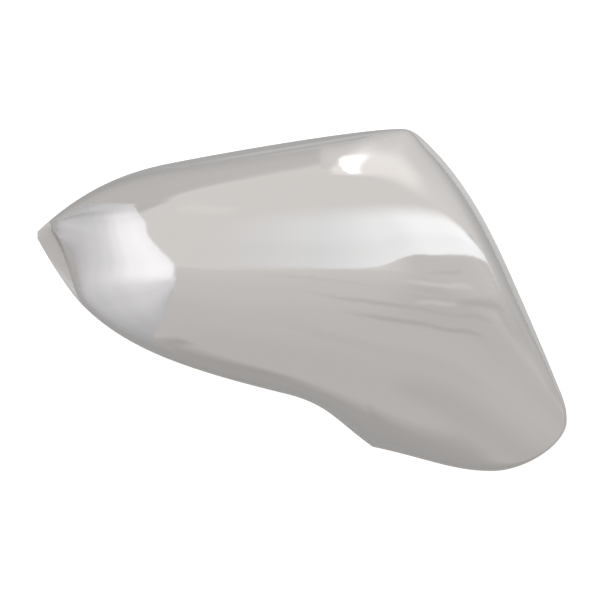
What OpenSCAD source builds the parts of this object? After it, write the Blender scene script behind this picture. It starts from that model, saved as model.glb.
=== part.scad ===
// Chrome-plated wing mirror cover, left side of the picture towards the door.
// One thin moulded shell, open to the rear, with a cut-out below for the mirror's foot.
// X points outboard, Y to the rear of the car, Z up. The rear rim lies in the plane y = 0.
// All sizes are in millimetres.

/* [Rear outline] */
// Door-side tip, left of the middle of the rim
tip_x = 114.5; // [110:0.5:120]
// Height of the tip's upper corner
tip_z = 29.5; // [26:0.5:34]
// Blunt end of the tip, from its upper to its lower corner
tip_h = 3; // [2:0.5:5]
// Length of the tip's facet along the upper edge, sideways
facet_x = 5.8; // [4:0.2:8]
// Rise of the upper edge over that length
facet_z = 5.1; // [3.5:0.2:7]
// Brow point, left of the middle
brow_x = 60; // [54:1:66]
// Height of the brow point
brow_z = 58.5; // [55:0.5:61]
// Start of the upper outer corner
top_x = 43; // [39:1:46]
// Height of the upper outer corner
top_z = 74; // [71:0.5:77]
// End of the upper outer corner, where the flank starts
shoulder_x = 57; // [54:0.5:60]
// Height of that point
shoulder_z = 65; // [62:0.5:68]
// Middle of the flank
flank_x = 92; // [90:0.5:95]
// Height of the middle of the flank
flank_z = 7; // [3:0.5:11]
// Lower end of the flank
bend_x = 109; // [107:0.5:111]
// Depth of that point below the middle
bend_z = 33; // [30:0.5:36]
// Outermost point of the rim
outer_x = 114.5; // [112:0.5:118]
// Depth of the outermost point below the middle
outer_z = 52; // [49:0.5:55]
// Lowest point of the rim, right of the middle
sole_x = 82; // [78:0.5:86]
// Depth of the lowest point below the middle
sole_z = 74; // [72:0.5:77]

/* [Foot cut-out] */
// Corner between the rim's lower edge and the cut-out
foot_x = 30.5; // [26:0.5:34]
// Depth of that corner below the middle
foot_z = 63.5; // [61:0.5:66]
// Top of the cut-out's curve, left of the middle
arch_x = 7; // [4:0.5:12]
// Depth of that point below the middle
arch_z = 40; // [37:0.5:43]
// Chin point, where the cut-out turns up to the tip
chin_x = 94; // [91:0.5:97]
// Depth of the chin point below the middle
chin_z = 2.8; // [0:0.2:5]
// Height of the wall left in front of the cut-out where it is deepest
foot_wall = 22; // [18:1:30]
// Place of the deepest point along the cut-out: lower is nearer the foot corner
foot_bias = 0.75; // [0.65:0.05:1]

/* [Dome] */
// Depth from the rear rim to the crown
cover_d = 74; // [68:1:82]
// Crown, right of the middle of the rim
crown_x = 5; // [-5:1:15]
// Height of the crest line along the front
crown_z = 12; // [6:1:18]
// Radius of the front seen from above
plan_r = 145; // [138:1:170]
// Radius of the front seen from the side
side_r = 80; // [76:1:95]
// How much tighter the front curves above the crest than below it
side_skew = 0.2; // [0:0.05:0.3]
// Squareness of the shoulder between the front and the side walls
shoulder_n = 7; // [5:0.5:10]
// Length of the outline over which its corners blur towards the crown
blur_w = 70; // [40:5:90]
// How close to the rim the corners stay sharp: higher is closer
blur_n = 8; // [4:1:10]
// Length of the outline over which the corners are still eased just inside the rim
soft_w = 24; // [12:1:30]
// How close to the rim they are fully sharp: higher is closer
soft_n = 30; // [20:1:50]

/* [Wall and rim] */
// Thickness of the moulded wall
wall = 2; // [1.5:0.1:2.6]
// Depth of the flared band along the rim
rim_d = 2; // [1.5:0.1:3]
// Width of the flared lip on the flank
lip_w = 2.3; // [1.8:0.1:3]
// Width of the lip at the lower end of the flank
lip_end_w = 1.5; // [1:0.1:2.5]
// Width of the flat facet at the tip's upper corner
facet_w = 6.2; // [4.5:0.1:7]
// Width of the facet at the tip's lower corner
facet_low_w = 7.6; // [6:0.1:8.5]
// Width of the small land along the lower edges
land_w = 1.2; // [0.8:0.1:1.6]
// Width of the band along the top, where the lip has run out
top_w = 0.3; // [0.2:0.1:0.6]

/* [Adhesive tape] */
// Thickness of the foam tape
tape_t = 1.2; // [0.8:0.1:1.6]
// Width of the foam tape
tape_w = 9; // [7:0.5:11]
// Distance from the flared band to the tape
tape_in = 4; // [3:0.5:6]
// Space left between the tape and the wall that it sticks to
tape_gap = 0.25; // [0.2:0.05:0.4]
// Thickness of the liner film on the tape
liner_t = 0.2; // [0.15:0.05:0.3]

/* [Mesh] */
// Distance between the columns of facets along the rim
column_gap = 5; // [4:0.5:8]
// Rows of facets on the front, and round the shoulder
front_rows = 3; // [2:1:4]
shoulder_rows = 11; // [9:1:13]
// Share of the way from the crown to the rim that counts as front
front_share = 0.45; // [0.35:0.05:0.55]

/* [Hidden] */

// Each station of the outline: x, z, heading, reach before and after it as shares of the
// way to the next station, width of the band, and the direction in which the band lies
REAR = [
    [-tip_x, tip_z, 43, 0, 0.38, facet_w, 5],
    [-tip_x + facet_x, tip_z + facet_z, 40, 0.38, 0.31, top_w, -50],
    [-brow_x, brow_z, 12, 0.4, 0.16, top_w, -78],
    [top_x, top_z, 0, 0.19, 0.3, top_w, -90],
    [shoulder_x, shoulder_z, -46, 0.55, 0.38, lip_w, -136],
    [flank_x, flank_z, -66, 0.24, 0.31, lip_w, -156],
    [bend_x, -bend_z, -68, 0.28, 0.4, lip_end_w, -158],
    [outer_x, -outer_z, -90, 0.35, 0.26, land_w, -180],
    [sole_x, -sole_z, -180, 0.37, 0.32, land_w, -270],
    [foot_x, -foot_z, -192, 0.46, 0.48, land_w, -295],
];
FOOT = [
    [foot_x, -foot_z, -216, 0, 0.45, land_w, -295],
    [-arch_x, -arch_z, -194, 0.43, 0.46, land_w, -284],
    [-chin_x, -chin_z, -224, 0.28, 0.22, land_w / 2, -314],
    [-tip_x, tip_z - tip_h, -241, 0.41, 0, facet_low_w, -350],
];

function heading(a) = [cos(a), sin(a)];

function way(a, b) = norm([b[0] - a[0], b[1] - a[1]]);

// Point at t on the cubic curve that leaves station a and arrives at station b
function curve(a, b, t) =
    let (p = [a[0], a[1]], q = [b[0], b[1]], w = way(a, b), m = 1 - t)
    m * m * m * p
        + 3 * m * m * t * (p + a[4] * w * heading(a[2]))
        + 3 * m * t * t * (q - b[3] * w * heading(b[2]))
        + t * t * t * q;

// Number of columns on the stretch between two stations
function steps(a, b) = max(1, floor(way(a, b) / column_gap));

// Columns of one stretch between two stations: the outer edge, and the step in to the dome
function stretch(a, b) =
    [
        for (i = [0 : steps(a, b) - 1])
            let (t = i / steps(a, b), ease = t * t * (3 - 2 * t))
            [
                curve(a, b, t),
                (1 - ease) * a[5] * heading(a[6]) + ease * b[5] * heading(b[6])
            ]
    ];

function columns(stations) =
    [for (k = [0 : len(stations) - 2]) each stretch(stations[k], stations[k + 1])];

// Number of columns before station k
function before(stations, k) =
    k == 0 ? 0 : before(stations, k - 1) + steps(stations[k - 1], stations[k]);

// Column at a share of the way from station k to the next
function column(stations, k, share) =
    before(stations, k) + round(share * steps(stations[k], stations[k + 1]));

REAR_COLS = columns(REAR);
FOOT_COLS = columns(FOOT);
LAST = FOOT[len(FOOT) - 1];
COLS = [each REAR_COLS, each FOOT_COLS, [[LAST[0], LAST[1]], LAST[5] * heading(LAST[6])]];
N = len(COLS);
N_REAR = len(REAR_COLS);
function wrap(i) = (i + N) % N;

// Front of the dome without its side walls, as a depth over the rim plane
function front(x, z) =
    let (u = x - crown_x, w = z - crown_z)
    cover_d - u * u / (2 * plan_r) - w * w / (2 * side_r) * (1 + side_skew * w / side_r);

// Edge of the dome inside the flared band
CREASE = [for (c = COLS) c[0] + c[1]];

// Edge height of each column: 0 on the rear rim, forward along the cut-out
EDGE_Y = [
    for (i = [0 : N - 1])
        let (v = (i - N_REAR) / (N - N_REAR), wall_h = front(CREASE[i][0], CREASE[i][1]))
        v <= 0 ? 0 : -(wall_h - foot_wall) * sin(180 * pow(v, foot_bias))
];

// Way along the crease from its first point to each point, and all the way round
STEP = [for (i = [0 : N - 1]) norm(CREASE[wrap(i + 1)] - CREASE[i])];
WAY = [for (i = 0, s = 0; i < N; s = s + STEP[i], i = i + 1) s];
ROUND = WAY[N - 1] + STEP[N - 1];

// The crease with its corners blurred: each point is the mean of its neighbours within
// reach along the outline, the near ones weighing most
function blurred(reach) =
    [
        for (i = [0 : N - 1])
            let (
                weights = [
                    for (j = [0 : N - 1])
                        let (d = abs(WAY[i] - WAY[j]))
                        max(0, 1 - min(d, ROUND - d) / reach) * (STEP[j] + STEP[wrap(j - 1)])
                ],
                ones = [for (w = weights) 1]
            )
            weights * CREASE / (weights * ones)
    ];

BLUR = blurred(blur_w);
SOFT = blurred(soft_w);

// Point of the outer face on column i, at share s of the way from the crown to the crease
function skin(i, s) =
    let (
        hub = [crown_x, crown_z],
        inner = BLUR[i] + pow(s, blur_n) * (SOFT[i] - BLUR[i]),
        p = hub + s * (inner + pow(s, soft_n) * (CREASE[i] - SOFT[i]) - hub),
        foot = EDGE_Y[i] - rim_d,
        rise = front(p[0], p[1]) + foot
    )
    [p[0], foot - rise * sqrt(max(0, 1 - pow(s, shoulder_n))), p[1]];

// Outward normal of the outer face at any share s of column i
function normal(i, s) =
    let (
        along = skin(wrap(i + 1), s) - skin(wrap(i - 1), s),
        out = skin(i, s) - skin(i, s - 0.01),
        n = cross(along, out)
    )
    n / norm(n);

// Shares of the way out at which the rows lie, closest round the shoulder
ROWS = [
    for (j = [1 : front_rows]) front_share * j / front_rows,
    for (j = [1 : shoulder_rows])
        front_share + (1 - front_share) * sin(90 * j / shoulder_rows)
];
M = len(ROWS);

OUTER = [for (s = ROWS) [for (i = [0 : N - 1]) skin(i, s)]];
CROWN = [crown_x, -front(crown_x, crown_z), crown_z];

INNER = [
    for (j = [0 : M - 1])
        [for (i = [0 : N - 1]) OUTER[j][i] - wall * normal(i, ROWS[j])]
];

// Rear edges of the band, outside and inside, with the full wall between them
RIM_OUT = [for (i = [0 : N - 1]) [COLS[i][0][0], EDGE_Y[i], COLS[i][0][1]]];
RIM_IN = [
    for (i = [0 : N - 1])
        let (
            step = INNER[M - 1][i] - OUTER[M - 1][i],
            spread = norm([norm(COLS[i][1]), rim_d]) / rim_d
        )
        RIM_OUT[i] + [step[0] * spread, min(-EDGE_Y[i], step[1]), step[2] * spread]
];

// Closed skin from the crown outside, round the rim, to the crown inside
RINGS = [each OUTER, RIM_OUT, RIM_IN, for (j = [M - 1 : -1 : 0]) INNER[j]];

// Share of the way out at which column i stands h forward of the flared band
function share_at(i, h) =
    let (rise = front(CREASE[i][0], CREASE[i][1]) + EDGE_Y[i] - rim_d)
    pow(1 - pow(h / rise, 2), 1 / shoulder_n);

// Solid that follows the inside of the wall from column a to column b,
// between two distances from the outer face
module strip(a, b, near, far) {
    rows = [0, 0.5, 1];
    k = len(rows);
    ring = 2 * k;
    points = [
        for (i = [a : b])
            let (shares = [for (r = rows) share_at(i, tape_in + r * tape_w)])
            each [
                for (s = shares) skin(i, s) - near * normal(i, s),
                for (r = [k - 1 : -1 : 0]) skin(i, shares[r]) - far * normal(i, shares[r]),
            ]
    ];
    faces = [
        for (i = [0 : b - a - 1], j = [0 : ring - 1])
            let (p = i * ring, q = p + ring, e = (j + 1) % ring)
            each j < k
                ? [[p + j, q + e, p + e], [p + j, q + j, q + e]]
                : [[p + j, q + j, p + e], [q + j, q + e, p + e]],
        for (j = [0 : k - 2], end = [0, 1])
            let (
                p = end * (b - a) * ring,
                quad = [p + j, p + j + 1, p + ring - 2 - j, p + ring - 1 - j]
            )
            end == 0 ? quad : [for (v = [3 : -1 : 0]) quad[v]],
    ];
    polyhedron(points, faces, convexity = 4);
}

// Foam tape on the inside of the wall, between two columns
module tape(a, b) {
    color("dimgray") strip(a, b, wall + tape_gap, wall + tape_gap + tape_t);
}

// Liner film on the tape, with a pull tab of one column past the tape's end
module liner(a, b) {
    color("firebrick")
        strip(a, b + 1, wall + tape_gap + tape_t, wall + tape_gap + tape_t + liner_t);
}

// First and last column of each run of tape, clear of the corners of the outline
TOP = [column(REAR, 2, 0), column(REAR, 2, 0.9)];
FLANK = [column(REAR, 4, 0.1), column(REAR, 5, 0.9)];
SOLE = [column(REAR, 8, 0.4), column(REAR, 8, 0.9)];
CHIN = [N_REAR + column(FOOT, 1, 0.15), N_REAR + column(FOOT, 1, 0.9)];

module cover_shell() {
    rings = len(RINGS);
    first = 0;
    last = rings * N + 1;
    points = [CROWN, for (r = RINGS) each r, CROWN + [0, wall, 0]];
    faces = [
        for (i = [0 : N - 1]) [first, 1 + i, 1 + wrap(i + 1)],
        for (k = [0 : rings - 2], i = [0 : N - 1])
            let (a = 1 + k * N, b = a + N, e = wrap(i + 1))
            each [[a + i, b + e, a + e], [a + i, b + i, b + e]],
        for (i = [0 : N - 1])
            let (a = 1 + (rings - 1) * N)
            [last, a + wrap(i + 1), a + i]
    ];
    color("gainsboro") polyhedron(points, faces, convexity = 6);
}

module tape_top() tape(TOP[0], TOP[1]);
module tape_flank() tape(FLANK[0], FLANK[1]);
module tape_sole() tape(SOLE[0], SOLE[1]);
module tape_chin() tape(CHIN[0], CHIN[1]);

module liner_top() liner(TOP[0], TOP[1]);
module liner_flank() liner(FLANK[0], FLANK[1]);
module liner_sole() liner(SOLE[0], SOLE[1]);
module liner_chin() liner(CHIN[0], CHIN[1]);

cover_shell();
tape_top();
tape_flank();
tape_sole();
tape_chin();
liner_top();
liner_flank();
liner_sole();
liner_chin();
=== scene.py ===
import math

import bpy
import numpy as np
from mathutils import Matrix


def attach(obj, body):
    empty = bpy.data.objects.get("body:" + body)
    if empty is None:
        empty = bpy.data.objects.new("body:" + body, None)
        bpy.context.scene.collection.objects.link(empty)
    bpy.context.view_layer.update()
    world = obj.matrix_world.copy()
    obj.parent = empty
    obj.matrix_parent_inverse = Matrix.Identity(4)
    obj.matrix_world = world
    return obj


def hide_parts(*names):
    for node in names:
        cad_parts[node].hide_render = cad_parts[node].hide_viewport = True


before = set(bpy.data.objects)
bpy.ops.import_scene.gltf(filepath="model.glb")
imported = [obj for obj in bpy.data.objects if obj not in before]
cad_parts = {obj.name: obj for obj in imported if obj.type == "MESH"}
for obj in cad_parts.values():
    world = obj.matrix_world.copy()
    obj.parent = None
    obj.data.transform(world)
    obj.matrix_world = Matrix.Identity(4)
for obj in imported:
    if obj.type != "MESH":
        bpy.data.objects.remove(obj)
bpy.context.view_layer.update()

# Sizes of the cover in millimetres, the same as in the construction model
MM = 0.001
TIP = (-114.5, 29.5)
TIP_H = 3.0
TIP_FACET = (5.8, 5.1)
BROW = (-60.0, 58.5)
TOP = (43.0, 74.0)
SHOULDER = (57.0, 65.0)
FLANK = (92.0, 7.0)
BEND = (109.0, -33.0)
OUTER = (114.5, -52.0)
SOLE = (82.0, -74.0)
FOOT = (30.5, -63.5)
ARCH = (-7.0, -40.0)
CHIN = (-94.0, -2.8)
FOOT_WALL = 22.0
FOOT_BIAS = 0.75
COVER_D = 74.0
CROWN = (5.0, 12.0)
PLAN_R = 145.0
SIDE_R = 80.0
SIDE_SKEW = 0.2
SHOULDER_N = 7.0
BLUR_W = 70.0
BLUR_N = 8
SOFT_W = 24.0
SOFT_N = 30
WALL = 2.0
RIM_D = 2.0
LIP_W = 2.3
LIP_END_W = 1.5
FACET_W = 6.2
FACET_LOW_W = 7.6
LAND_W = 1.2
TOP_W = 0.3
TAPE_T = 1.2
TAPE_W = 9.0
TAPE_IN = 4.0
TAPE_GAP = 0.25
LINER_T = 0.2

# Stations of the outline: x, z, heading in degrees, reach before and after as shares of
# the way between stations, width of the flared band, and the direction in which it lies
REAR = [
    (*TIP, 43, 0, 0.38, FACET_W, 5),
    (TIP[0] + TIP_FACET[0], TIP[1] + TIP_FACET[1], 40, 0.38, 0.31, TOP_W, -50),
    (*BROW, 12, 0.4, 0.16, TOP_W, -78),
    (*TOP, 0, 0.19, 0.3, TOP_W, -90),
    (*SHOULDER, -46, 0.55, 0.38, LIP_W, -136),
    (*FLANK, -66, 0.24, 0.31, LIP_W, -156),
    (*BEND, -68, 0.28, 0.4, LIP_END_W, -158),
    (*OUTER, -90, 0.35, 0.26, LAND_W, -180),
    (*SOLE, -180, 0.37, 0.32, LAND_W, -270),
    (*FOOT, -192, 0.46, 0.48, LAND_W, -295),
]
UNDER = [
    (*FOOT, -216, 0, 0.45, LAND_W, -295),
    (*ARCH, -194, 0.43, 0.46, LAND_W, -284),
    (*CHIN, -224, 0.28, 0.22, LAND_W / 2, -314),
    (TIP[0], TIP[1] - TIP_H, -241, 0.41, 0, FACET_LOW_W, -350),
]
# Tape runs: stations, the stretch and share where a run starts, and where it ends
TAPES = {
    "top": (REAR, (2, 0), (2, 0.9)),
    "flank": (REAR, (4, 0.1), (5, 0.9)),
    "sole": (REAR, (8, 0.4), (8, 0.9)),
    "chin": (UNDER, (1, 0.15), (1, 0.9)),
}

# Columns along the outline: their gap here and in the construction model. Stretches of
# fewer columns than EVEN_PARTS change the width of their band evenly
COLUMN_GAP = 1.25
CAD_GAP = 5.0
EVEN_PARTS = 8
# Rows from the crown: the flat front takes few up to FLAT_SHARE, and the shoulder many
FLAT_ROWS = 12
FLAT_SHARE = 0.45
SHOULDER_ROWS = 60
# Step in share from which a row's slope is taken, and the least share of a strip's row
NORMAL_STEP = 0.01
LEAST_SHARE = 0.01
# Parts of a rounded corner and of the flared band, and passes that even out its corners
CORNER_PARTS = 3
BAND_PARTS = 6
CORNER_SMOOTHING = 6

# Forms that are too fine for the construction model, in millimetres
EDGE_R = 0.35
CREASE_R = 0.2
LIP_SWELL = 0.2
TAPE_R = 0.3
LINER_R = 0.08
TAB_LIFT = 0.8
# The lip swells by this share of its width at most
LIP_SWELL_SHARE = 0.1
# The liner's tab runs on by this many of the construction model's columns
TAB_COLUMNS = 1
# Material slots of the shell after its bright one
DULL, MILKY = 1, 2

# Patterns in the finishes, as sizes from one mark to the next and depths in millimetres
RIPPLE, RIPPLE_DEPTH = 5.0, 0.03
SINK, SINK_DEPTH = 25.0, 0.25
HAZE = 12.0
GRAIN, GRAIN_DEPTH = 4.0, 0.06
CLOUD = 30.0
MILK = 8.0
CELL, CELL_DEPTH = 0.5, 0.1
CREPE, CREPE_DEPTH = 6.0, 0.2

# Light sheets hang round the cover in layers, at these distances in millimetres
SHADE_LAYER = 2900
FOLD_LAYER = 2950
LOW_LAYER = 2970
SHEET_LAYER = 3000
BACK_LAYER = 3050
WALL_LAYER = 3100
# Cells along and across a sheet, and passes that soften the corners of its edges
SHEET_CELLS = (48, 10)
LINE_SMOOTHING = 5
# Half the floor's width and its height in millimetres
FLOOR_HALF = 20000
FLOOR_Z = -200
# Glow of the tent from straight below to straight above, and its strength
TENT_GLOW = ((0, 0.72), (0.07, 0.72), (0.25, 0.77), (0.42, 0.83), (0.504, 0.88), (0.518, 0.97))
TENT_STRENGTH = 1.33

# Camera in metres: one pixel of the photo's 600 spans PIXEL at the cover, which sits
# two pixels right of the middle
CAMERA_WAY = 2.2
CAMERA_END = 50
SENSOR = 36
IMAGE_W = 600
PIXEL = 0.432 * MM
ASIDE = 2 * PIXEL


def heading(angle):
    """Unit vector in the plane of the rim, at an angle in degrees from +X."""
    return np.array([math.cos(math.radians(angle)), math.sin(math.radians(angle))])


def curve(a, b, t):
    """Point at t on the cubic curve that leaves station a and arrives at station b."""
    p, q = np.array(a[:2]), np.array(b[:2])
    chord = np.linalg.norm(q - p)
    leave, arrive = p + a[4] * chord * heading(a[2]), q - b[3] * chord * heading(b[2])
    m = 1 - t
    return m**3 * p + 3 * m * m * t * leave + 3 * m * t * t * arrive + t**3 * q


def steps(a, b, gap):
    """Number of columns from station a to station b at a gap."""
    return max(1, int(math.dist(a[:2], b[:2]) / gap))


def columns(stations):
    """Outer edge and step in to the dome, for each column along the stations."""
    out = []
    for a, b in zip(stations, stations[1:]):
        parts = steps(a, b, COLUMN_GAP)
        for t in (k / parts for k in range(parts)):
            ease = t if parts < EVEN_PARTS else t * t * (3 - 2 * t)
            band = (1 - ease) * a[5] * heading(a[6]) + ease * b[5] * heading(b[6])
            out.append((curve(a, b, t), band))
    return out


def front(x, z):
    """Depth of the front over the rim plane, without the side walls."""
    u, w = x - CROWN[0], z - CROWN[1]
    return COVER_D - u * u / (2 * PLAN_R) - w * w / (2 * SIDE_R) * (1 + SIDE_SKEW * w / SIDE_R)


def blurred(points, reach):
    """The outline with its corners blurred, each point a weighted mean along the way."""
    step = np.linalg.norm(np.roll(points, -1, 0) - points, axis=1)
    way = np.concatenate([[0], np.cumsum(step)[:-1]])
    apart = np.abs(way[:, None] - way[None, :])
    apart = np.minimum(apart, step.sum() - apart)
    weight = np.clip(1 - apart / reach, 0, 1) * (step + np.roll(step, 1))[None, :]
    return weight @ points / weight.sum(1)[:, None]


rear_cols = columns(REAR)
under_cols = columns(UNDER)
last = UNDER[-1]
cols = rear_cols + under_cols + [(np.array(last[:2]), last[5] * heading(last[6]))]
edge = np.array([c[0] for c in cols])
band = np.array([c[1] for c in cols])
crease = edge + band
blur = blurred(crease, BLUR_W)
soft = blurred(crease, SOFT_W)
count = len(cols)
# The edge rises towards the front along the cut-out for the mirror's foot
under_share = np.clip((np.arange(count) - len(rear_cols)) / (count - len(rear_cols)), 0, 1)
swell = np.sin(np.pi * under_share**FOOT_BIAS)
edge_y = -swell * (front(crease[:, 0], crease[:, 1]) - FOOT_WALL)


def skin(share):
    """Outer face at a share of the way from the crown to the crease, for every column."""
    s = np.broadcast_to(np.asarray(share, float), count)[:, None]
    hub = np.array(CROWN)
    p = hub + s * (blur + s**BLUR_N * (soft - blur) + s**SOFT_N * (crease - soft) - hub)
    foot = edge_y - RIM_D
    rise = front(p[:, 0], p[:, 1]) + foot
    y = foot - rise * np.sqrt(np.clip(1 - s[:, 0]**SHOULDER_N, 0, 1))
    return np.column_stack([p[:, 0], y, p[:, 1]])


def normals(share):
    """Outward normals of the outer face along the row at the given share."""
    row = skin(share)
    along = np.roll(row, -1, 0) - np.roll(row, 1, 0)
    n = np.cross(along, row - skin(np.asarray(share) - NORMAL_STEP))
    return n / np.linalg.norm(n, axis=1)[:, None]


def eased(values):
    """Values along the outline, each evened out with its neighbours."""
    for _ in range(CORNER_SMOOTHING):
        values = (np.roll(values, 1, 0) + 2 * values + np.roll(values, -1, 0)) / 4
    return values


def soft_corner(before, corner, after, radius):
    """Rows that round a corner between two neighbouring rows."""
    def toward(p):
        d = p - corner
        return corner + radius * d / np.linalg.norm(d, axis=1)[:, None]
    a, b = toward(before), toward(after)
    return [
        (1 - t) ** 2 * a + 2 * (1 - t) * t * corner + t * t * b
        for t in (k / CORNER_PARTS for k in range(CORNER_PARTS + 1))
    ]


def bulge(inner_edge, outer_edge):
    """Rows across the flared band, which swells a little between its two edges."""
    across = outer_edge - inner_edge
    flare = np.hypot(across[:, 0], across[:, 2])[:, None]
    out = np.cross(np.roll(inner_edge, -1, 0) - np.roll(inner_edge, 1, 0), across)
    out /= np.linalg.norm(out, axis=1)[:, None]
    rise = np.minimum(LIP_SWELL, LIP_SWELL_SHARE * flare)
    return [
        inner_edge + t * across + 4 * t * (1 - t) * rise * out
        for t in (k / BAND_PARTS for k in range(1, BAND_PARTS))
    ]


def mesh_object(name, points, faces):
    """Smooth-shaded object from points in millimetres."""
    mesh = bpy.data.meshes.new(name)
    mesh.from_pydata([tuple(p) for p in np.asarray(points) * MM], [], faces)
    mesh.update()
    for poly in mesh.polygons:
        poly.use_smooth = True
    obj = bpy.data.objects.new(name, mesh)
    bpy.context.scene.collection.objects.link(obj)
    return obj


def ring_faces(first, second, wrap=True):
    """Quads between two rings of the same number of points."""
    n = len(first)
    return [
        (first[i], second[i], second[(i + 1) % n], first[(i + 1) % n])
        for i in range(n if wrap else n - 1)
    ]


def wall_rows():
    """Rows of the outer and of the inner face, from the crown to the crease."""
    shares = [FLAT_SHARE * k / FLAT_ROWS for k in range(1, FLAT_ROWS + 1)]
    shares += [
        FLAT_SHARE + (1 - FLAT_SHARE) * math.sin(math.pi / 2 * k / SHOULDER_ROWS)
        for k in range(1, SHOULDER_ROWS + 1)
    ]
    outer = [skin(s) for s in shares]
    inner = [skin(s) - WALL * eased(normals(s)) for s in shares]
    return outer, inner


def rim_edges(outer_crease, inner_crease):
    """Outer and inner edge of the rim's land, which is wider where the band flares."""
    rim_out = np.column_stack([edge[:, 0], edge_y, edge[:, 1]])
    step = inner_crease - outer_crease
    spread = np.hypot(np.linalg.norm(band, axis=1), RIM_D) / RIM_D
    inset = eased(np.column_stack([step[:, 0] * spread, step[:, 1], step[:, 2] * spread]))
    inset[:, 1] = np.minimum(-edge_y, inset[:, 1])
    return rim_out, rim_out + inset


def shell():
    """The cover as one closed skin: front, flared band, rim and inside."""
    outer, inner = wall_rows()
    rim_out, rim_in = rim_edges(outer[-1], inner[-1])
    rings = outer[:-1]
    rings += soft_corner(outer[-2], outer[-1], rim_out, CREASE_R)
    # The milky plating starts half way round the crease
    milky_from = len(rings) - (CORNER_PARTS + 1) // 2
    rings += bulge(outer[-1], rim_out)
    rings += soft_corner(outer[-1], rim_out, rim_in, EDGE_R)
    rings += soft_corner(rim_out, rim_in, inner[-1], EDGE_R)
    dull_from = len(rings)
    rings += soft_corner(rim_in, inner[-1], inner[-2], EDGE_R)
    rings += inner[-2::-1]
    crown_y = -front(*CROWN)
    crown_out = [CROWN[0], crown_y, CROWN[1]]
    crown_in = [CROWN[0], crown_y + WALL, CROWN[1]]
    points = np.vstack([crown_out, *rings, crown_in])
    rows = [range(1 + k * count, 1 + (k + 1) * count) for k in range(len(rings))]
    end = len(points) - 1
    faces = [(0, rows[0][i], rows[0][(i + 1) % count]) for i in range(count)]
    for a, b in zip(rows, rows[1:]):
        faces += ring_faces(a, b)
    faces += [(end, rows[-1][(i + 1) % count], rows[-1][i]) for i in range(count)]
    obj = mesh_object("shell_plated", points, faces)
    for poly in obj.data.polygons[count * milky_from:count * dull_from]:
        poly.material_index = MILKY
    for poly in obj.data.polygons[count * dull_from:]:
        poly.material_index = DULL
    return obj


def column_at(stations, stretch, share):
    """Column at a share of a stretch, on the columns that the construction model has.

    Gives the columns before the stretch, the share, the stretch's columns here and the
    share that one column of the construction model takes.
    """
    before = 0 if stations is REAR else len(rear_cols)
    before += sum(
        steps(a, b, COLUMN_GAP) for a, b in zip(stations[:stretch], stations[1:stretch + 1])
    )
    a, b = stations[stretch], stations[stretch + 1]
    coarse = steps(a, b, CAD_GAP)
    return before, round(share * coarse) / coarse, steps(a, b, COLUMN_GAP), 1 / coarse


def section(width, thickness, radius):
    """Outline of a strip across its width, with rounded corners."""
    corners = [(radius, radius, 180), (width - radius, radius, 270),
               (width - radius, thickness - radius, 0), (radius, thickness - radius, 90)]
    out = []
    for x, y, start in corners:
        for k in range(CORNER_PARTS + 1):
            a = math.radians(start + 90 * k / CORNER_PARTS)
            out.append((x + radius * math.cos(a), y + radius * math.sin(a)))
    return out


def strip(name, key, near, thickness, radius, tab=0, lift=0.0):
    """Strip along the inside of the wall, near being its distance from the outer face.

    tab columns of it run on past its end and lift off by up to lift.
    """
    stations, start, end = TAPES[key]
    base_a, share_a, fine_a, _ = column_at(stations, *start)
    base_b, share_b, fine_b, one = column_at(stations, *end)
    first = base_a + round(share_a * fine_a)
    final = base_b + round((share_b + tab * one) * fine_b)
    tape_end = base_b + round(share_b * fine_b)
    rise = front(crease[:, 0], crease[:, 1]) + edge_y - RIM_D
    run = np.arange(first, final + 1)
    past = np.clip((run - tape_end) / max(1, final - tape_end), 0, 1)
    points = []
    for across, up in section(TAPE_W, thickness, radius):
        s = (1 - ((TAPE_IN + across) / rise) ** 2).clip(LEAST_SHARE) ** (1 / SHOULDER_N)
        face, n = skin(s)[run % count], normals(s)[run % count]
        points.append(face - (near + up + lift * past**2)[:, None] * n)
    points = np.array(points).transpose(1, 0, 2)
    size = points.shape[1]
    rows = [range(k * size, (k + 1) * size) for k in range(len(run))]
    faces = [f for a, b in zip(rows, rows[1:]) for f in ring_faces(a, b)]
    faces += [tuple(reversed(rows[0])), tuple(rows[-1])]
    return mesh_object(name, points.reshape(-1, 3), faces)


def srgb(hex_colour):
    """Linear colour from an sRGB hex value."""
    parts = [int(hex_colour[i:i + 2], 16) / 255 for i in (1, 3, 5)]
    return [c / 12.92 if c <= 0.04045 else ((c + 0.055) / 1.055) ** 2.4 for c in parts] + [1]


def set_stops(ramp, stops):
    """Grey levels at positions from 0 to 1 on a colour ramp, joined smoothly."""
    ramp.interpolation = "EASE"
    for position, _ in stops[1:-1]:
        ramp.elements.new(position)
    for element, (position, level) in zip(ramp.elements, stops):
        element.position = position
        element.color = (level, level, level, 1)


def add(tree, kind, settings=None, links=None):
    """Adds a node with its settings, and links from other nodes' sockets."""
    n = tree.nodes.new(kind)
    for key, value in (settings or {}).items():
        if key == "stops":
            set_stops(n.color_ramp, value)
        elif isinstance(key, int) or key in n.inputs:
            n.inputs[key].default_value = value
        else:
            setattr(n, key, value)
    for key, source in (links or {}).items():
        tree.links.new(source, n.inputs[key])
    return n


def new_material(name):
    """Material with an empty node tree."""
    m = bpy.data.materials.new(name)
    m.use_nodes = True
    m.node_tree.nodes.clear()
    return m


def per(size):
    """Scale of a pattern that repeats after a size in millimetres."""
    return 1 / (size * MM)


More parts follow.
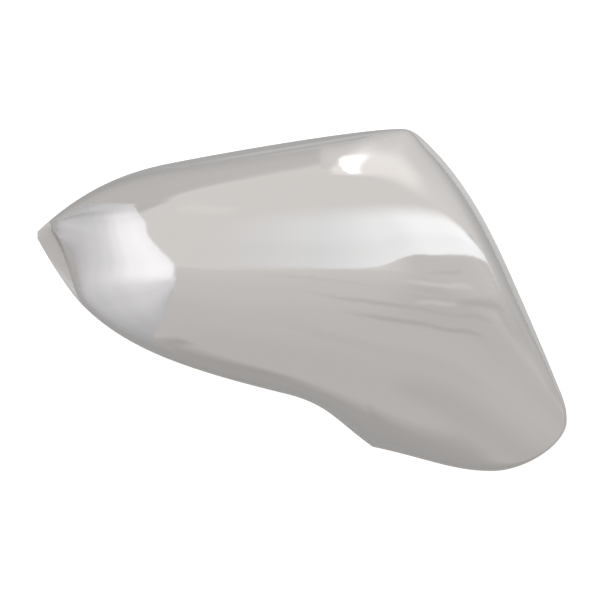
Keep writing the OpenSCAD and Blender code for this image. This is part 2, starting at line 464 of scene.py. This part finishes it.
def plated_chromium():
    """Chromium, plated bright over nickel, copper and moulded ABS.

    A near mirror in a slightly warm grey, in which straight edges come out soft and a
    little wavy.
    """
    m = new_material("plated_chromium")
    t = m.node_tree
    place = add(t, "ShaderNodeTexCoord")
    # The copper layer leaves a fine ripple
    wave = add(t, "ShaderNodeTexNoise", {"Scale": per(RIPPLE), "Detail": 1.0},
               {"Vector": place.outputs["Object"]})
    wave_bump = add(t, "ShaderNodeBump", {"Strength": 0.5, "Distance": RIPPLE_DEPTH * MM},
                    {"Height": wave.outputs[0]})
    # The moulded plastic under it has sunk a little, in wide swells
    sink = add(t, "ShaderNodeTexNoise", {"Scale": per(SINK), "Detail": 1.0},
               {"Vector": place.outputs["Object"]})
    swell_bump = add(t, "ShaderNodeBump", {"Strength": 0.35, "Distance": SINK_DEPTH * MM},
                     {"Height": sink.outputs[0], "Normal": wave_bump.outputs[0]})
    # Haze and handling marks dull it here and there
    haze = add(t, "ShaderNodeTexNoise", {"Scale": per(HAZE), "Detail": 4.0},
               {"Vector": place.outputs["Object"]})
    rough = add(t, "ShaderNodeMapRange", {"From Min": 0.3, "From Max": 0.75,
                "To Min": 0.045, "To Max": 0.085}, {"Value": haze.outputs[0]})
    body = add(t, "ShaderNodeBsdfPrincipled", {
        "Base Color": srgb("#b8b4b1"), "Metallic": 1.0},
        {"Roughness": rough.outputs[0], "Normal": swell_bump.outputs[0]})
    add(t, "ShaderNodeOutputMaterial", links={"Surface": body.outputs[0]})
    return m


def plated_chromium_dull():
    """Chromium on the inside, plated thinly over the mould's unpolished core side.

    Reflections blur to soft clouds there. The real grain is finer than a render shows,
    so it is drawn as coarse as GRAIN.
    """
    m = new_material("plated_chromium_dull")
    t = m.node_tree
    place = add(t, "ShaderNodeTexCoord")
    grain = add(t, "ShaderNodeTexNoise", {"Scale": per(GRAIN), "Detail": 1.0},
                {"Vector": place.outputs["Object"]})
    bump = add(t, "ShaderNodeBump", {"Strength": 0.3, "Distance": GRAIN_DEPTH * MM},
               {"Height": grain.outputs[0]})
    cloud = add(t, "ShaderNodeTexNoise", {"Scale": per(CLOUD), "Detail": 1.0},
                {"Vector": place.outputs["Object"]})
    rough = add(t, "ShaderNodeMapRange", {"From Min": 0.3, "From Max": 0.7,
                "To Min": 0.22, "To Max": 0.36}, {"Value": cloud.outputs[0]})
    tone = add(t, "ShaderNodeMix", {"data_type": "RGBA", 6: srgb("#9d9a95"), 7: srgb("#b2afab")},
               {0: cloud.outputs[0]})
    body = add(t, "ShaderNodeBsdfPrincipled", {"Metallic": 1.0},
               {"Base Color": tone.outputs[2], "Roughness": rough.outputs[0],
                "Normal": bump.outputs[0]})
    add(t, "ShaderNodeOutputMaterial", links={"Surface": body.outputs[0]})
    return m


def plated_chromium_milky():
    """Chromium on the flared band and the rim, where plating builds up thicker.

    It burns a little there, which leaves an even, milky grey in place of the mirror.
    """
    m = new_material("plated_chromium_milky")
    t = m.node_tree
    place = add(t, "ShaderNodeTexCoord")
    cloud = add(t, "ShaderNodeTexNoise", {"Scale": per(MILK), "Detail": 3.0},
                {"Vector": place.outputs["Object"]})
    rough = add(t, "ShaderNodeMapRange", {"From Min": 0.3, "From Max": 0.7,
                "To Min": 0.3, "To Max": 0.38}, {"Value": cloud.outputs[0]})
    body = add(t, "ShaderNodeBsdfPrincipled", {"Base Color": srgb("#a6a3a0"), "Metallic": 0.6},
               {"Roughness": rough.outputs[0]})
    add(t, "ShaderNodeOutputMaterial", links={"Surface": body.outputs[0]})
    return m


def foamed_acrylic():
    """Acrylic foam tape, cast as a sheet and slit to strips.

    Matt and nearly black, with the open cells of the cut showing as small pits. Real
    cells are a fifth of a millimetre or less, drawn as coarse as CELL so that they show.
    """
    m = new_material("foamed_acrylic")
    t = m.node_tree
    place = add(t, "ShaderNodeTexCoord")
    cells = add(t, "ShaderNodeTexVoronoi", {"Scale": per(CELL)},
                {"Vector": place.outputs["Object"]})
    bump = add(t, "ShaderNodeBump", {"Strength": 0.6, "Distance": CELL_DEPTH * MM},
               {"Height": cells.outputs["Distance"]})
    tone = add(t, "ShaderNodeMix", {"data_type": "RGBA", 6: srgb("#2b2b2d"), 7: srgb("#3c3c3f")},
               {0: cells.outputs["Distance"]})
    body = add(t, "ShaderNodeBsdfPrincipled", {"Roughness": 0.85, "IOR": 1.49},
               {"Base Color": tone.outputs[2], "Normal": bump.outputs[0]})
    add(t, "ShaderNodeOutputMaterial", links={"Surface": body.outputs[0]})
    return m


def blown_polyethylene():
    """Polyethylene liner, blown as a film, dyed red and coated so that it peels off.

    Satin, with the shallow crepe of a thin film that has been wound up.
    """
    m = new_material("blown_polyethylene")
    t = m.node_tree
    place = add(t, "ShaderNodeTexCoord")
    crepe = add(t, "ShaderNodeTexNoise", {"Scale": per(CREPE), "Detail": 2.0},
                {"Vector": place.outputs["Object"]})
    bump = add(t, "ShaderNodeBump", {"Strength": 0.4, "Distance": CREPE_DEPTH * MM},
               {"Height": crepe.outputs[0]})
    tone = add(t, "ShaderNodeMix", {"data_type": "RGBA", 6: srgb("#a5160f"), 7: srgb("#c4261c")},
               {0: crepe.outputs[0]})
    body = add(t, "ShaderNodeBsdfPrincipled", {"Roughness": 0.32, "IOR": 1.51},
               {"Base Color": tone.outputs[2], "Normal": bump.outputs[0]})
    add(t, "ShaderNodeOutputMaterial", links={"Surface": body.outputs[0]})
    return m


def seat(piece, node, slot, *finishes):
    """Gives a piece its finishes and puts it in its node's place."""
    for finish in finishes:
        piece.data.materials.append(finish)
    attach(piece, "root")
    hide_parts(node)


seat(shell(), "cover_shell", "plated_shell",
     plated_chromium(), plated_chromium_dull(), plated_chromium_milky())
foam, film = foamed_acrylic(), blown_polyethylene()
for key in TAPES:
    tape = strip("foam_" + key, key, WALL + TAPE_GAP, TAPE_T, TAPE_R)
    seat(tape, "tape_" + key, "foam_tape", foam)
    liner = strip("film_" + key, key, WALL + TAPE_GAP + TAPE_T, LINER_T, LINER_R,
                  TAB_COLUMNS, TAB_LIFT)
    seat(liner, "liner_" + key, "liner_film", film)

scene = bpy.context.scene
scene.view_settings.view_transform = "Standard"


def direction(azimuth, elevation):
    """Unit vector from the cover. Azimuth 0 is towards the camera, positive to the right."""
    a, e = math.radians(azimuth), math.radians(elevation)
    return np.array([math.sin(a) * math.cos(e), -math.cos(a) * math.cos(e), math.sin(e)])


def evenly(line, number):
    """A number of points evenly along a line of azimuths and elevations, corners softened."""
    line = np.array(line, float)
    way = np.concatenate([[0], np.cumsum(np.linalg.norm(np.diff(line, axis=0), axis=1))])
    t = np.linspace(0, way[-1], number)
    out = np.column_stack([np.interp(t, way, line[:, k]) for k in (0, 1)])
    for _ in range(LINE_SMOOTHING):
        out[1:-1] = (out[:-2] + 2 * out[1:-1] + out[2:]) / 4
    return out


def sheet_mesh(name, near, far, layer):
    """Light sheet between two edges. Its u runs from start to end, its v from near to far."""
    cells_u, cells_v = SHEET_CELLS
    a, b = evenly(near, cells_u + 1), evenly(far, cells_u + 1)
    points = []
    for v in range(cells_v + 1):
        points += [layer * direction(*p) for p in a + (b - a) * v / cells_v]
    rows = [range(v * (cells_u + 1), (v + 1) * (cells_u + 1)) for v in range(cells_v + 1)]
    faces = [f for p, q in zip(rows, rows[1:]) for f in ring_faces(p, q, wrap=False)]
    obj = mesh_object(name, points, faces)
    uv = obj.data.uv_layers.new(name="sheet")
    for loop in obj.data.loops:
        v, u = divmod(loop.vertex_index, cells_u + 1)
        uv.data[loop.index].uv = (u / cells_u, v / cells_v)
    return obj


def glowing_cloth(name, strength, across, along, fade, colour):
    """Lit cloth of a light sheet, shaded over its width and length and thin at its edges."""
    m = new_material(name)
    t = m.node_tree
    place = add(t, "ShaderNodeTexCoord")
    axes = add(t, "ShaderNodeSeparateXYZ", links={0: place.outputs["UV"]})
    width = add(t, "ShaderNodeValToRGB", {"stops": across}, {0: axes.outputs[1]})
    length = add(t, "ShaderNodeValToRGB", {"stops": along}, {0: axes.outputs[0]})
    level = add(t, "ShaderNodeMath", {"operation": "MULTIPLY"},
                {0: width.outputs[0], 1: length.outputs[0]})
    power = add(t, "ShaderNodeMath", {"operation": "MULTIPLY", 1: strength},
                {0: level.outputs[0]})
    surface = add(t, "ShaderNodeEmission", {"Color": srgb(colour)},
                  {"Strength": power.outputs[0]})
    clear = add(t, "ShaderNodeBsdfTransparent")
    near, far, start, end = fade
    for axis, low, reach in ((1, 0, near), (1, 1, -far), (0, 0, start), (0, 1, -end)):
        if reach:
            thin = add(t, "ShaderNodeMapRange", {
                "interpolation_type": "SMOOTHSTEP", "From Min": low, "From Max": low + reach},
                {"Value": axes.outputs[axis]})
            surface = add(t, "ShaderNodeMixShader", links={
                0: thin.outputs[0], 1: clear.outputs[0], 2: surface.outputs[0]})
    add(t, "ShaderNodeOutputMaterial", links={"Surface": surface.outputs[0]})
    return m


def sheet(name, near, far, strength, across=((0, 1), (1, 1)), along=((0, 1), (1, 1)),
          fade=(0, 0, 0, 0), layer=SHEET_LAYER, colour="#ffffff"):
    """Light sheet between two edges given as azimuths and elevations.

    across and along shade it from its near to its far edge and from its start to its
    end. fade gives the shares over which it thins out: near, far, start and end. Only
    reflections show it.
    """
    obj = sheet_mesh(name, near, far, layer)
    obj.data.materials.append(glowing_cloth(name, strength, across, along, fade, colour))
    obj.visible_camera = False
    obj.visible_diffuse = False
    obj.visible_shadow = False


def fold(name, line, half, strength, colour="#ffffff"):
    """Soft streak of light or shade along a line, half being half its width in degrees."""
    sheet(name, [(a, e - half) for a, e in line], [(a, e + half) for a, e in line], strength,
          fade=(0.5, 0.5, 0.25, 0.25), layer=FOLD_LAYER, colour=colour)


# Wide sheet high on the outer side: the bright band across the front
sheet("sheet_band",
      [(-50, 4), (-8, 3.5), (2, 2), (24, 2), (31, 10.5), (42, 14), (53, 16.5), (69, 20),
       (90, 22.5), (112, 21.8), (118, 21), (128, 18.3), (135, 16.5), (141, 14.5)],
      [(-50, 44), (-7, 48), (30, 52), (45, 54), (60, 54), (90, 50), (118, 38), (142, 15.5)],
      2.05, across=((0, 0.97), (0.25, 0.95), (0.45, 1), (1, 1)),
      along=((0, 0.68), (0.25, 0.76), (0.4, 0.89), (0.6, 1)), fade=(0, 0.4, 0.3, 0),
      colour="#f6fbff")
# Streak of light above its dull end
fold("fold_front", [(-84, 52), (-66, 50), (-50, 48), (-30, 46)], half=7, strength=1.37)
# Grey wall under that sheet
sheet("shade_side",
      [(14, -32), (60, -36), (100, -36), (152, -30)],
      [(22, 5), (42, 17), (69, 23), (90, 26), (112, 25), (134, 22), (150, 14)],
      1.08, across=((0, 0.9), (0.5, 0.9), (0.75, 1), (1, 1)), fade=(0.35, 0, 0.2, 0.1),
      layer=WALL_LAYER)
# Folds of that wall and of the floor's cloth: the streaks on the lower outer face. The last sheet
# is painted shade on the floor below the cover
fold("fold_a", [(6, -20), (16, -23), (31, -25), (49, -25), (58, -23), (68, -18), (88, -11)],
     half=2, strength=0.85)
fold("fold_b", [(-8, -9), (9, -15), (30, -18), (50, -17), (66, -12), (81, -4), (110, 5)],
     half=1.8, strength=0.91)
fold("fold_c", [(24, -5), (46, -2), (62, 2), (78, 8), (102, 13)], half=2, strength=1.2)
fold("fold_d", [(-25, -1), (-4, -3), (20, -8), (44, -9), (60, -5)], half=1.2, strength=1.06)
fold("fold_e", [(-20, -25), (2, -35), (26, -40), (54, -41), (80, -41), (95, -36)],
     half=5, strength=0.97)
fold("fold_f", [(60, -7), (70, -3), (89, 4.5), (109, 9.5), (138, 12)], half=2.6, strength=0.88)
fold("fold_g", [(33, -16), (47, -12), (58, -9), (68, -5)], half=1.8, strength=1.14)
fold("fold_i", [(106, 5), (120, 7), (134, 9), (150, 10)], half=5, strength=0.9)
fold("fold_j", [(44, 3), (58, 8), (74, 12.5), (94, 17)], half=1.3, strength=0.98)
# Painted shade: a wide dim sheet standing in for the shaded floor below and in front of the cover
fold("painted_floor_shade", [(30, -60), (90, -58), (130, -53)], half=16, strength=0.89)
# Sheet at the door side: the bright patch behind the tip
sheet("sheet_door",
      [(-119, 43.5), (-109, 44), (-95, 40), (-82, 35), (-69, 20), (-60, 12), (-50, 3),
       (-54, -9), (-72, -22)],
      [(-131, 36), (-124, 30), (-116, 20), (-114, 8), (-124, -3), (-134, -10), (-140, -20)],
      2.13, across=((0, 0.93), (0.2, 0.98), (0.4, 0.93), (0.5, 0.82), (0.6, 0.7), (0.7, 0.62),
                    (0.8, 0.55), (1, 0.41)),
      along=((0, 0.68), (0.1, 0.72), (0.21, 0.88), (0.34, 0.97), (0.45, 1)),
      fade=(0.04, 0.25, 0.04, 0), colour="#f7faff")
# Its lower part hangs in a fold and is duller
sheet("sheet_door_low",
      [(-52, -4), (-75, -5), (-95, -6), (-112, -6), (-134, -5)],
      [(-57, -14), (-66, -25), (-80, -36), (-100, -42), (-125, -42), (-150, -36), (-165, -25)],
      1.8, across=((0, 1), (0.5, 0.78), (1, 0.58)),
      along=((0, 1), (0.35, 1), (0.56, 0.9), (0.7, 0.8), (0.8, 0.72), (0.9, 0.64), (1, 0.6)),
      fade=(0.3, 0.05, 0, 0.25), layer=LOW_LAYER, colour="#f7faff")
# A bulge of the sheet catches more light
fold("fold_door", [(-54, 1), (-63, -1), (-74, -3)], half=6, strength=2.12, colour="#f7faff")
# Its upper end is duller and thins out to the back
sheet("sheet_door_top",
      [(-113, 46), (-121, 44), (-130, 40), (-142, 37)],
      [(-106, 37), (-114, 34), (-121, 31), (-130, 29)],
      1.42, along=((0, 1), (0.5, 0.86), (0.8, 0.7), (1, 0.65)), fade=(0.2, 0.6, 0.15, 0.3),
      layer=LOW_LAYER, colour="#f7faff")
# Shade below it
fold("fold_chin", [(-92, -52), (-108, -49), (-124, -45), (-148, -39)], half=5, strength=0.76)
# Dull wall beyond its far edge
sheet("shade_door",
      [(-100, 38), (-172, 38)],
      [(-100, -36), (-172, -36)],
      0.8, fade=(0.15, 0.15, 0, 0.1), layer=BACK_LAYER)
# Dim wall behind on the door side: the grey strip along the top edge
sheet("shade_top",
      [(-95, 53), (-110, 58), (-120, 66), (-138, 75), (-168, 75), (-182, 68)],
      [(-95, 20), (-118, -10), (-140, -20), (-160, -20), (-172, -20), (-182, -20)],
      1.12, across=((0, 1), (0.2, 0.88), (0.4, 0.85), (1, 0.85)), fade=(0.12, 0.1, 0.1, 0.02),
      layer=WALL_LAYER)
# Light wall high behind on the outer side, round the hot spot
sheet("sheet_corner",
      [(100, 46), (120, 38), (140, 33), (155, 40), (166, 44), (174, 38), (183, 22)],
      [(100, 84), (120, 86), (150, 87), (183, 76)],
      1.62, along=((0, 1), (0.8, 1), (0.92, 0.76), (1, 0.72)), fade=(0.3, 0.15, 0.35, 0.02),
      layer=BACK_LAYER)
# Dim wall behind on the outer side: the grey side wall below the lip
sheet("shade_outer",
      [(124, -62), (145, -66), (165, -66), (190, -66)],
      [(138, 24), (150, 38), (165, 40), (190, 40)],
      1.3, across=((0, 0.75), (0.68, 0.76), (0.85, 1)), fade=(0.2, 0.15, 0.12, 0.1),
      layer=WALL_LAYER)
# Dark room straight behind: the walls of the cover grow darker towards the crease
sheet("shade_back",
      [(120, -60), (240, -60)],
      [(120, 60), (240, 60)],
      0.4, fade=(0.5, 0.5, 0.5, 0.5), layer=SHADE_LAYER)
# Small lamp overhead: the hot spot under the upper outer corner
sheet("lamp_spot",
      [(178, 50), (176, 60), (171, 69), (157, 77), (118, 81)],
      [(165, 49), (158, 60), (152, 66), (140, 71), (112, 75)],
      3.0, fade=(0.15, 0.6, 0.15, 0.4))
# Shaded floor under and behind the cover: the dark strip along the cut-out
sheet("shade_under",
      [(98, -54), (130, -42), (180, 10), (230, -32), (264, -56)],
      [(98, -70), (130, -75), (160, -81), (180, -84), (230, -84), (264, -76)],
      0.7, fade=(0.3, 0.35, 0.35, 0.25))

# Floor of pale matt board
floor_corners = ((-1, -1), (1, -1), (1, 1), (-1, 1))
floor = mesh_object("floor", [(x * FLOOR_HALF, y * FLOOR_HALF, FLOOR_Z) for x, y in floor_corners],
                    [(0, 1, 2, 3)])
board = new_material("matte_board")
pale = add(board.node_tree, "ShaderNodeBsdfDiffuse", {"Color": srgb("#ebeae8")})
add(board.node_tree, "ShaderNodeOutputMaterial", links={"Surface": pale.outputs[0]})
floor.data.materials.append(board)
floor.visible_glossy = False

# Soft tent: even light above, and below the horizon the floor's own glow, duller downwards
tent = bpy.data.worlds.new("tent")
scene.world = tent
tent.use_nodes = True
tent.node_tree.nodes.clear()
place = add(tent.node_tree, "ShaderNodeTexCoord")
axes = add(tent.node_tree, "ShaderNodeSeparateXYZ", links={0: place.outputs["Generated"]})
height = add(tent.node_tree, "ShaderNodeMapRange", {"From Min": -1.0, "From Max": 1.0},
             {"Value": axes.outputs[2]})
level = add(tent.node_tree, "ShaderNodeValToRGB", {"stops": TENT_GLOW}, {0: height.outputs[0]})
glow = add(tent.node_tree, "ShaderNodeMath", {"operation": "MULTIPLY", 1: TENT_STRENGTH},
           {0: level.outputs[0]})
light = add(tent.node_tree, "ShaderNodeBackground", {"Color": srgb("#ffffff")},
            {"Strength": glow.outputs[0]})
add(tent.node_tree, "ShaderNodeOutputWorld", links={"Surface": light.outputs[0]})

# Camera straight before the cover, level with it
camera = bpy.data.cameras.new("camera")
camera_obj = bpy.data.objects.new("camera", camera)
scene.collection.objects.link(camera_obj)
camera_obj.location = direction(0, 0) * CAMERA_WAY - np.array([ASIDE, 0, 0])
camera_obj.rotation_euler = (math.radians(90), 0, 0)
camera.sensor_width = SENSOR
camera.lens = SENSOR * CAMERA_WAY / (IMAGE_W * PIXEL)
camera.clip_end = CAMERA_END
scene.camera = camera_obj
